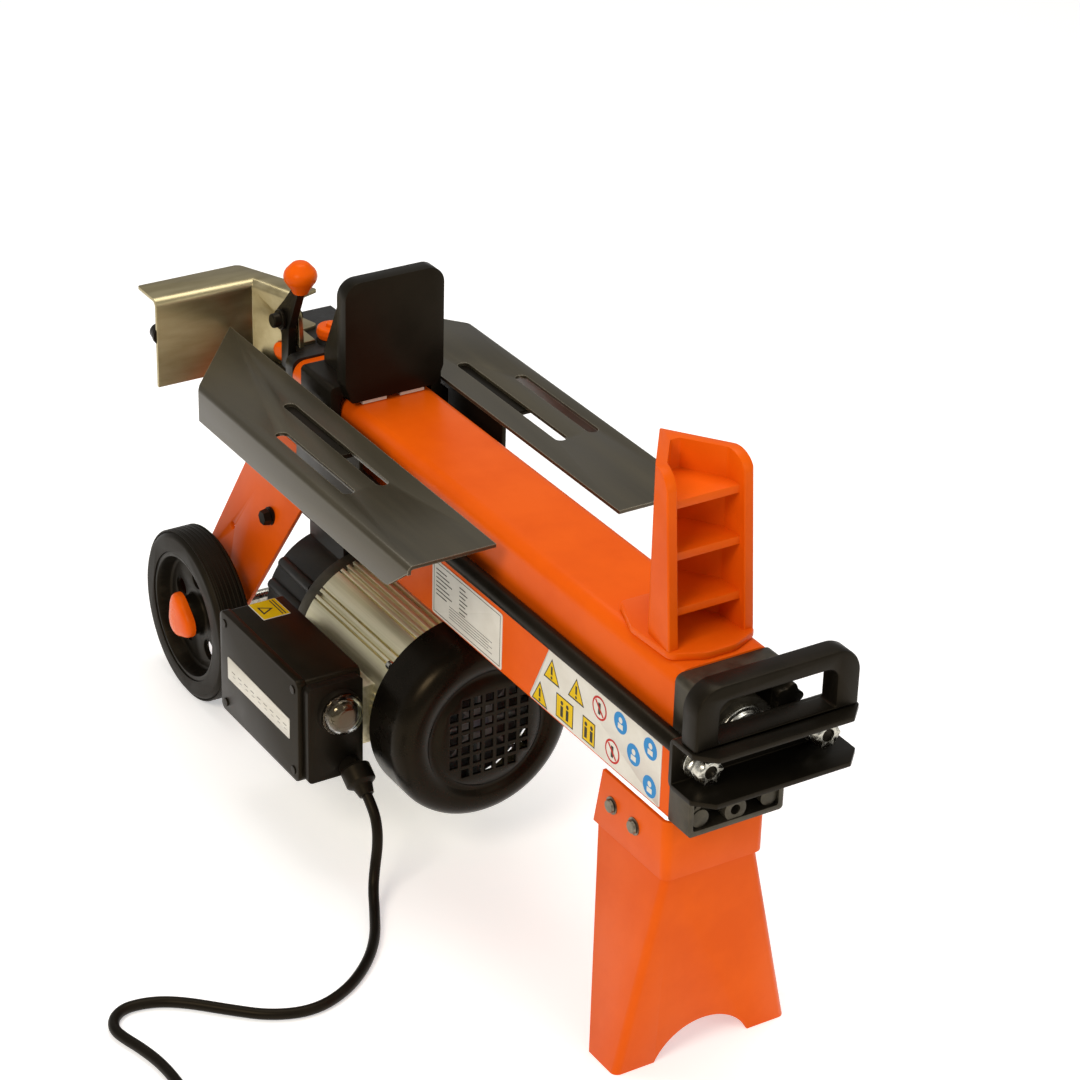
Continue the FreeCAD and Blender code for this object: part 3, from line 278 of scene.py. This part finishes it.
looks = {
    # node: (finish, rounding of its edges in mm)
    "labels": ("whiteFoil", 0),
    "beam_tube": ("orangePaint", 0.5), "end_cap": ("dieCast", 0.7), "rod_gland": ("zinc", 0.3),
    "wedge_plates": ("orangePaint", 1.2), "wedge_base": ("orangePaint", 1.5),
    "cylinder_tube": ("machinedSteel", 0.4), "rear_head": ("castIron", 1.2),
    "oil_plugs": ("orangePlastic", 0.6), "crossbar": ("blackPaint", 0.8),
    "tie_rod_nuts": ("zinc", 0), "tie_rods": ("blackPaint", 0.4),
    "lift_handle": ("blackPlastic", 2.2), "piston": ("machinedSteel", 0.3),
    "piston_rod": ("chrome", 0.5), "pusher": ("blackPaint", 1.0), "pusher_pads": ("acetal", 0.5),
    "motor_body": ("motorAluminium", 0.25), "motor_end_shields": ("dieCast", 0.8),
    "motor_bearings": ("machinedSteel", 0.3), "stator": ("laminations", 0.3),
    "rotor": ("laminations", 0.4), "cooling_fan": ("greyPlastic", 0.4),
    "fan_cover": ("coverPlastic", 0), "pump_housing": ("castIron", 0.9),
    "drive_gear": ("machinedSteel", 0.2), "driven_gear": ("machinedSteel", 0.2),
    "switch_box": ("boxPlastic", 0.8), "switch_box_lid": ("boxPlastic", 1.2),
    "capacitor": ("greyPlastic", 0.4), "switch_plate": ("blackPlastic", 0.8),
    "start_button": ("buttonPlastic", 0.6), "button_dome": ("clear", 0.3),
    "cable_gland": ("blackPlastic", 0.6), "leg_collar": ("orangePaint", 0.5),
    "front_leg": ("orangePaint", 0.6), "rear_leg_left": ("orangePaint", 0.6),
    "rear_leg_right": ("orangePaint", 0.6), "wheel_axle": ("zinc", 0.6),
    "left_tyre": ("tyreRubber", 0.5), "left_rim": ("wheelPlastic", 0.7),
    "right_tyre": ("tyreRubber", 0.5), "right_rim": ("wheelPlastic", 0.7),
    "cradle_left": ("bedCoating", 0.5), "cradle_right": ("bedCoating", 0.5),
    "cradle_brackets": ("blackPaint", 0.6), "lever_guard": ("guardSteel", 0.4),
    "small_screws": ("zinc", 0.3),
    "control_lever": ("blackPaint", 0.7), "lever_knob": ("orangePlastic", 0.4),
    "lever_pivot": ("blackPaint", 0.4), "valve_spool": ("machinedSteel", 0.3),
    "bleed_screw": ("blackPlastic", 0.6), "mains_plug": ("cordRubber", 0.5),
}
for node, (finish, bevel) in looks.items():
    finished(node, finish, bevel)
print("pieces finished:", len(looks))

# the switch box's screws are blackened, the others are bright
boxScrewsFrom = -128              # mm
screws = bpy.data.objects["small_screws_piece"].data
screws.materials.append(finishes["blackPaint"])
for face in screws.polygons:
    if face.center.y < boxScrewsFrom * mm:
        face.material_index = 1


def newTree(name, sizes):
    # an empty geometry tree with one named input for each size
    tree = bpy.data.node_groups.new(name, "GeometryNodeTree")
    tree.interface.new_socket("Geometry", in_out="INPUT", socket_type="NodeSocketGeometry")
    for size, kind in sizes:
        tree.interface.new_socket(size, in_out="INPUT", socket_type="NodeSocket" + kind)
    tree.interface.new_socket("Geometry", in_out="OUTPUT", socket_type="NodeSocketGeometry")
    return tree, add(tree, "NodeGroupInput")


def grown(name, mesh, tree, values, finish, body, nodes=()):
    # runs a geometry tree on a mesh and keeps the plain mesh that comes out
    holder = bpy.data.objects.new("holder", mesh)
    bpy.context.scene.collection.objects.link(holder)
    modifier = holder.modifiers.new("growth", "NODES")
    modifier.node_group = tree
    for socket in tree.interface.items_tree:
        if socket.in_out == "INPUT" and socket.name in values:
            modifier[socket.identifier] = values[socket.name]
    done = plainMesh(holder, name)
    bpy.data.objects.remove(holder)
    done.set_sharp_from_angle(angle=crease)
    newPiece(name + "_piece", done, finish, body, nodes)


def boltTree():
    # on every point a washer and a domed or six-sided head, turned to the point's "aim"
    tree, given = newTree("bolts", [("Washer Radius", "Float"), ("Washer Height", "Float"),
                                    ("Head Radius", "Float"), ("Head Height", "Float"),
                                    ("Sides", "Int"), ("Finish", "Material")])
    washer = add(tree, "GeometryNodeMeshCylinder", {"Vertices": 40},
                 {"Radius": given.outputs["Washer Radius"],
                  "Depth": given.outputs["Washer Height"]})
    head = add(tree, "GeometryNodeMeshCone", {"Side Segments": 2},
               {"Vertices": given.outputs["Sides"], "Radius Bottom": given.outputs["Head Radius"],
                "Depth": given.outputs["Head Height"]})
    # the head draws in a little towards its top
    narrow = add(tree, "ShaderNodeMath", {1: 0.86}, {0: given.outputs["Head Radius"]},
                 operation="MULTIPLY")
    tree.links.new(narrow.outputs["Value"], head.inputs["Radius Top"])
    raised = add(tree, "ShaderNodeCombineXYZ", links={"Z": given.outputs["Washer Height"]})
    lifted = add(tree, "GeometryNodeTransform", links={"Geometry": head.outputs["Mesh"],
                                                       "Translation": raised.outputs["Vector"]})
    both = add(tree, "GeometryNodeJoinGeometry")
    tree.links.new(washer.outputs["Mesh"], both.inputs["Geometry"])
    tree.links.new(lifted.outputs["Geometry"], both.inputs["Geometry"])
    aim = add(tree, "GeometryNodeInputNamedAttribute", {"Name": "aim"}, data_type="FLOAT_VECTOR")
    turn = add(tree, "FunctionNodeAlignRotationToVector",
               links={"Vector": aim.outputs["Attribute"]}, axis="Z")
    placed = add(tree, "GeometryNodeInstanceOnPoints",
                 links={"Points": given.outputs["Geometry"], "Instance": both.outputs["Geometry"],
                        "Rotation": turn.outputs["Rotation"]})
    real = add(tree, "GeometryNodeRealizeInstances",
               links={"Geometry": placed.outputs["Instances"]})
    painted = add(tree, "GeometryNodeSetMaterial", links={"Geometry": real.outputs["Geometry"],
                                                          "Material": given.outputs["Finish"]})
    add(tree, "NodeGroupOutput", links={"Geometry": painted.outputs["Geometry"]})
    return tree


def ribTree():
    # rings side by side across the tread
    tree, given = newTree("ribs", [("Ring Radius", "Float"), ("Ring Section", "Float"),
                                   ("Count", "Int"), ("Finish", "Material")])
    ring = add(tree, "GeometryNodeCurvePrimitiveCircle", {"Resolution": 96},
               {"Radius": given.outputs["Ring Radius"]})
    section = add(tree, "GeometryNodeCurvePrimitiveCircle", {"Resolution": 8},
                  {"Radius": given.outputs["Ring Section"]})
    tube = add(tree, "GeometryNodeCurveToMesh", links={"Curve": ring.outputs["Curve"],
                                                       "Profile Curve": section.outputs["Curve"]})
    upright = add(tree, "GeometryNodeTransform", {"Rotation": (math.pi / 2, 0, 0)},
                  {"Geometry": tube.outputs["Mesh"]})
    across = add(tree, "GeometryNodeMeshToCurve", links={"Mesh": given.outputs["Geometry"]})
    even = add(tree, "GeometryNodeCurveToPoints", links={"Curve": across.outputs["Curve"],
                                                         "Count": given.outputs["Count"]})
    placed = add(tree, "GeometryNodeInstanceOnPoints",
                 links={"Points": even.outputs["Points"], "Instance": upright.outputs["Geometry"]})
    real = add(tree, "GeometryNodeRealizeInstances",
               links={"Geometry": placed.outputs["Instances"]})
    painted = add(tree, "GeometryNodeSetMaterial", links={"Geometry": real.outputs["Geometry"],
                                                          "Material": given.outputs["Finish"]})
    add(tree, "NodeGroupOutput", links={"Geometry": painted.outputs["Geometry"]})
    return tree


bolts = boltTree()
boltSets = {
    # name: (washer radius, height, head radius, height, sides, finish, places and aims in mm)
    "collar_bolts": (6.8, 0.9, 5.4, 1.7, 24, "dullZinc", [
        ((250, -31, 186), (0, -1, 0)), ((279, -31, 185), (0, -1, 0)),
        ((250, 55, 186), (0, 1, 0)), ((279, 55, 185), (0, 1, 0)), ((306.4, 15, 189), (1, 0, 0))]),
    "bracket_bolts": (8, 1.2, 6.6, 3.3, 6, "zinc", [
        ((x, y, z), (0, way, 0)) for x, z in ((-169, 250), (-104, 250), (-268, 223), (-232, 246))
        for y, way in ((-32, -1), (56, 1))]),
    "leg_nuts": (8, 1.0, 7.2, 6, 6, "blackPaint", [
        ((-268, -38.2, 181), (0, -1, 0)), ((-268, 62.2, 181), (0, 1, 0))]),
    "guard_screws": (8.5, 1.5, 7.6, 7.3, 24, "blackPaint", [((-335, -100, 333), (-1, 0, 0))]),
}
for name, (wide, low, head, high, sides, finish, places) in boltSets.items():
    points = bpy.data.meshes.new(name)
    points.from_pydata([millimetres(*place) for place, aim in places], [], [])
    aims = points.attributes.new("aim", "FLOAT_VECTOR", "POINT")
    aims.data.foreach_set("vector", [v for place, aim in places for v in aim])
    grown(name, points, bolts, {"Washer Radius": wide * mm, "Washer Height": low * mm * 2,
                                "Head Radius": head * mm, "Head Height": high * mm,
                                "Sides": sides, "Finish": finishes[finish]},
          finish, "frame", ["frame_bolts"])

ribs = ribTree()
# the rings' radius and section, how many there are, the wheel's centre and the tread's edges
tread = {"radius": 74.6, "section": 0.9, "count": 7, "centre": (-319, 75), "left": (-93, -70),
         "right": (94, 117)}
for side in ("left", "right"):
    line = bpy.data.meshes.new("line")
    x, z = tread["centre"]
    line.from_pydata([millimetres(x, y, z) for y in tread[side]], [(0, 1)], [])
    grown(side + "_tread", line, ribs, {"Ring Radius": tread["radius"] * mm,
                                        "Ring Section": tread["section"] * mm,
                                        "Count": tread["count"],
                                        "Finish": finishes["tyreRubber"]},
          "tyreRubber", side + "_wheel")


# a hub cap is a three-lobed dome; its faces are where it starts and which way it rises
capShape = {
    "centre": (-319, 75), "mean": 19.5, "lobe": 2.4, "height": 9, "around": 72,
    "rows": [(1.0, 0.0), (1.0, 0.45), (0.95, 0.7), (0.82, 0.88), (0.55, 0.98), (0.25, 1.0)],
    "faces": {"left": (-95.2, -1), "right": (119.2, 1)},
}


def hubCap(side, shape):
    start, way = shape["faces"][side]
    around = shape["around"]
    dome = bmesh.new()
    rings = []
    for part, rise in shape["rows"]:
        ring = []
        for k in range(around):
            angle = 2 * math.pi * k / around
            radius = part * (shape["mean"] + shape["lobe"] * math.cos(3 * angle + 0.5))
            ring.append(dome.verts.new(millimetres(
                shape["centre"][0] + radius * math.cos(angle),
                start + way * rise * shape["height"],
                shape["centre"][1] + radius * math.sin(angle))))
        rings.append(ring)
    for low, high in zip(rings, rings[1:]):
        for k in range(around):
            dome.faces.new((low[k], low[k - 1], high[k - 1], high[k]))
    dome.faces.new(rings[0])
    dome.faces.new(rings[-1])
    bmesh.ops.recalc_face_normals(dome, faces=dome.faces)
    mesh = bpy.data.meshes.new(side + "_hub_cap")
    dome.to_mesh(mesh)
    dome.free()
    mesh.polygons.foreach_set("use_smooth", [True] * len(mesh.polygons))
    mesh.set_sharp_from_angle(angle=math.radians(50))
    newPiece(side + "_hub_cap_piece", mesh, "orangePlastic", side + "_wheel",
             [side + "_hub_cap"])


for side in ("left", "right"):
    hubCap(side, capShape)
print("bolts, treads and hub caps made")


# print on the labels: plain signs without words
printLift = 0.06                  # mm from one layer of print to the next
beamFace, lidFace, boxTop = -28.4, -138.4, 171.4
signs = {"yellow": [], "ink": [], "red": [], "blue": [], "white": []}


def printSide(ink, layer, points, face=beamFace):
    signs[ink].append([(x, face - layer * printLift, z) for x, z in points])


def printTop(ink, layer, points):
    signs[ink].append([(x, y, boxTop + layer * printLift) for x, y in points])


def bar(x0, x1, z0, z1):
    return [(x0, z0), (x1, z0), (x1, z1), (x0, z1)]


def disc(x, z, radius, count=28):
    return [(x + radius * math.cos(2 * math.pi * k / count),
             z + radius * math.sin(2 * math.pi * k / count)) for k in range(count)]


def triangle(x, z, half):
    return [(x - half, z - half * 0.8), (x + half, z - half * 0.8), (x, z + half * 0.95)]


def frameLines(x0, x1, z0, z1, wide):
    return [bar(x0, x1, z0, z0 + wide), bar(x0, x1, z1 - wide, z1),
            bar(x0, x0 + wide, z0 + wide, z1 - wide), bar(x1 - wide, x1, z0 + wide, z1 - wide)]


warnings = {
    # middle and half width, or the edges left, right, below and above, or middle and radius
    "triangles": [(160.5, 250, 11), (145, 223.5, 11), (194, 251, 11)],
    "plates": [(167.5, 191, 216.5, 236.5), (203.5, 220.5, 216.5, 236.5)],
    "rings": [(225, 253, 9.5), (243.5, 227, 9.5)],
    "discs": [(252.5, 255.5, 8.5), (270.5, 239, 8.5), (291, 255, 8.5), (292, 224.5, 8.5)],
}
for x, z, half in warnings["triangles"]:
    printSide("ink", 1, triangle(x, z, half))
    printSide("yellow", 2, triangle(x, z - 0.1, half - 1.8))
    printSide("ink", 3, bar(x - 1.2, x + 1.2, z - 3, z + 4))
    printSide("ink", 3, disc(x, z - 5.5, 1.3, 12))
for x0, x1, z0, z1 in warnings["plates"]:
    printSide("ink", 1, bar(x0, x1, z0, z1))
    printSide("yellow", 2, bar(x0 + 1, x1 - 1, z0 + 1, z1 - 1))
    middle, waist = (x0 + x1) / 2, (z0 + z1) / 2
    for left in (middle - 5.5, middle + 2):
        printSide("ink", 3, bar(left, left + 3.5, z0 + 3, waist + 2))
        printSide("ink", 3, disc(left + 1.75, waist + 4.6, 1.8, 12))
for x, z, radius in warnings["rings"]:
    printSide("red", 1, disc(x, z, radius))
    printSide("white", 2, disc(x, z, radius - 1.7))
    printSide("ink", 3, bar(x - 1.6, x + 1.6, z - 5, z + 4.5))
    printSide("red", 4, [(x + 4.6, z - 5.9), (x + 5.9, z - 4.6), (x - 4.6, z + 5.9),
                         (x - 5.9, z + 4.6)])
for x, z, radius in warnings["discs"]:
    printSide("blue", 1, disc(x, z, radius))
    printSide("white", 2, disc(x, z + 2.2, 2.4, 14))
    printSide("white", 2, bar(x - 3.2, x + 3.2, z - 5, z - 0.8))

# the rating plate: a border, rows of short marks and a block of long ones
for line in frameLines(-11.5, 87.5, 216, 260, 0.6):
    printSide("ink", 1, line)
for row in range(7):
    high = 255 - 3.6 * row
    printSide("ink", 1, bar(-8, 8 + 4 * (row % 3), high - 1.0, high))
    printSide("ink", 1, bar(27, 36 + 3 * (row % 2), high - 1.0, high))
for row in range(5):
    high = 231 - 2.4 * row
    printSide("ink", 1, bar(12, 76 - 5 * (row % 2), high - 0.5, high))

# the switch box: two rows of marks on its lid and a sticker on top
for k in range(9):
    printSide("ink", 1, bar(-142 + 11 * k, -136 + 11 * k, 124.2, 124.8), lidFace)
    printSide("ink", 1, bar(-140 + 11 * k, -135.5 + 11 * k, 120.8, 121.2), lidFace)
printTop("yellow", 1, bar(-157.5, -130.5, -114.5, -91.5))
printTop("ink", 2, [(-150.5, -111), (-137.5, -111), (-144, -99.5)])
printTop("yellow", 3, [(-148, -109.6), (-140, -109.6), (-144, -102.6)])
for y in (-97.5, -95):
    printTop("ink", 2, bar(-156, -132, y, y + 1.1))

for ink, shapes in signs.items():
    mesh = bpy.data.meshes.new(ink + "_print")
    corners, faces = [], []
    for shape in shapes:
        faces.append(list(range(len(corners), len(corners) + len(shape))))
        corners += [millimetres(*corner) for corner in shape]
    mesh.from_pydata(corners, [], faces)
    newPiece(ink + "_print", mesh, ink + "Foil", "frame")
print("labels printed")


# the mains cord leaves the switch box, drops to the floor and lies there
cordShape = {
    "diameter": 8.5, "coilCentre": (246, -391), "coilOuter": 50.4, "coilInner": 41.9,
    "coilLow": 5.15, "coilHigh": 13.65,
    "step": 15,                   # degrees between points of the coil
}
floorLine = 4.6                   # mm from the floor to the cord's middle
routeToCoil = [
    (8.6, -98, 79.4), (19, -98, 72.1), (26, -98.5, 59.5), (29, -100, 44),
    (32, -104, 28.5), (40, -110, 14.5), (59, -119, 6.5), (87, -134, floorLine),
    (113, -156, floorLine), (134, -184, floorLine), (144, -216, floorLine),
    (134, -247, floorLine), (111, -272, floorLine), (90, -293, floorLine),
    (78, -310, floorLine), (73, -326, floorLine), (73, -339, floorLine),
    (80.5, -349.8, floorLine), (92.6, -354.8, floorLine), (105.4, -352.4, floorLine),
    (122, -347, floorLine), (146, -342, floorLine), (176, -341.5, floorLine),
    (204, -343.5, 4.8), (228, -340.8, 5.1)]
routeToPlug = [
    (296.8, -406, 13.6), (296.4, -424, 10.5), (293, -442, 8), (284.5, -456, 10),
    (272, -465, 14.5), (256, -468, 18.6)]


def coilTurns(shape):
    # clockwise from the coil's far side: out, in, up a layer, out again and off on the right
    outer, inner = shape["coilOuter"], shape["coilInner"]
    low, high = shape["coilLow"], shape["coilHigh"]
    stations = [(0, outer, low), (300, outer, low), (360, inner, low), (600, inner, low),
                (660, inner, high), (900, inner, high), (960, outer, high), (1170, outer, high)]
    pull = math.cos(math.radians(shape["step"] / 2))   # a spline runs inside its control points
    points = []
    for (start, r0, z0), (end, r1, z1) in zip(stations, stations[1:]):
        count = round((end - start) / shape["step"])
        for k in range(count):
            part = k / count
            angle = math.radians(start + (end - start) * part)
            radius = (r0 + (r1 - r0) * part) / pull
            points.append((shape["coilCentre"][0] + radius * math.sin(angle),
                           shape["coilCentre"][1] + radius * math.cos(angle),
                           z0 + (z1 - z0) * part))
    return points


def makeCord(shape):
    points = routeToCoil + coilTurns(shape) + routeToPlug
    curve = bpy.data.curves.new("power_cord", "CURVE")
    curve.dimensions = "3D"
    curve.bevel_depth = shape["diameter"] / 2 * mm
    curve.bevel_resolution = 6
    curve.resolution_u = 6
    curve.use_fill_caps = True
    spline = curve.splines.new("NURBS")
    spline.points.add(len(points) - 1)
    for point, place in zip(spline.points, points):
        point.co = (*millimetres(*place), 1)
    spline.order_u = 3
    spline.use_endpoint_u = True
    cord = bpy.data.objects.new("power_cord_piece", curve)
    bpy.context.scene.collection.objects.link(cord)
    curve.materials.append(finishes["cordRubber"])
    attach(cord, "frame")
    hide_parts("power_cord", "cord_coil", "cord_tail")
    return cord


cord = makeCord(cordShape)
print("cord laid")


studio = {
    "floorHalf": 6.0,             # m
    "floorGlow": 0.42,            # light from the paper itself, which keeps it white
    "world": ("#F7F7F7", 0.42),
    "aim": (0, 0, 0.2),           # m
    "lights": {
        # name: (place in m, size in m, power in W, warmth)
        "keyLight": ((1.2, -2.2, 2.3), (1.3, 0.9), 44, "#FFF6E8"),
        "fillLight": ((2.6, 0.7, 1.6), (1.4, 1.2), 11, "#FFFFFF"),
        "topLight": ((-0.3, 0.3, 2.6), (1.8, 1.4), 30, "#FFFFFF"),
    },
}


def makeFloor(half, glow):
    mesh = bpy.data.meshes.new("floor")
    mesh.from_pydata([(-half, -half, 0), (half, -half, 0), (half, half, 0), (-half, half, 0)], [],
                     [(0, 1, 2, 3)])
    floor = bpy.data.objects.new("floor", mesh)
    bpy.context.scene.collection.objects.link(floor)
    # matt studio paper: almost white, no sheen
    material = surface("paleStudioPaper", "#F6F5F3", "#F3F2F0", 400, 0.85, 0.04, 20, 0.001)
    shader = material.node_tree.nodes["Principled BSDF"]
    shader.inputs["Emission Color"].default_value = colour("#FFFFFF")
    shader.inputs["Emission Strength"].default_value = glow
    mesh.materials.append(material)


def softBox(name, aim, place, size, power, warmth):
    data = bpy.data.lights.new(name, "AREA")
    data.shape = "RECTANGLE"
    data.size, data.size_y = size
    data.energy = power
    data.color = colour(warmth)[:3]
    light = bpy.data.objects.new(name, data)
    bpy.context.scene.collection.objects.link(light)
    light.location = place
    light.rotation_euler = (Vector(aim) - Vector(place)).to_track_quat("-Z", "Y").to_euler()


def makeWorld(tone, strength):
    world = bpy.data.worlds.new("studio")
    world.use_nodes = True
    background = world.node_tree.nodes["Background"]
    background.inputs["Color"].default_value = colour(tone)
    background.inputs["Strength"].default_value = strength
    bpy.context.scene.world = world
    bpy.context.scene.view_settings.view_transform = "Standard"


makeFloor(studio["floorHalf"], studio["floorGlow"])
makeWorld(*studio["world"])
for name, light in studio["lights"].items():
    softBox(name, studio["aim"], *light)
print("floor and light set")
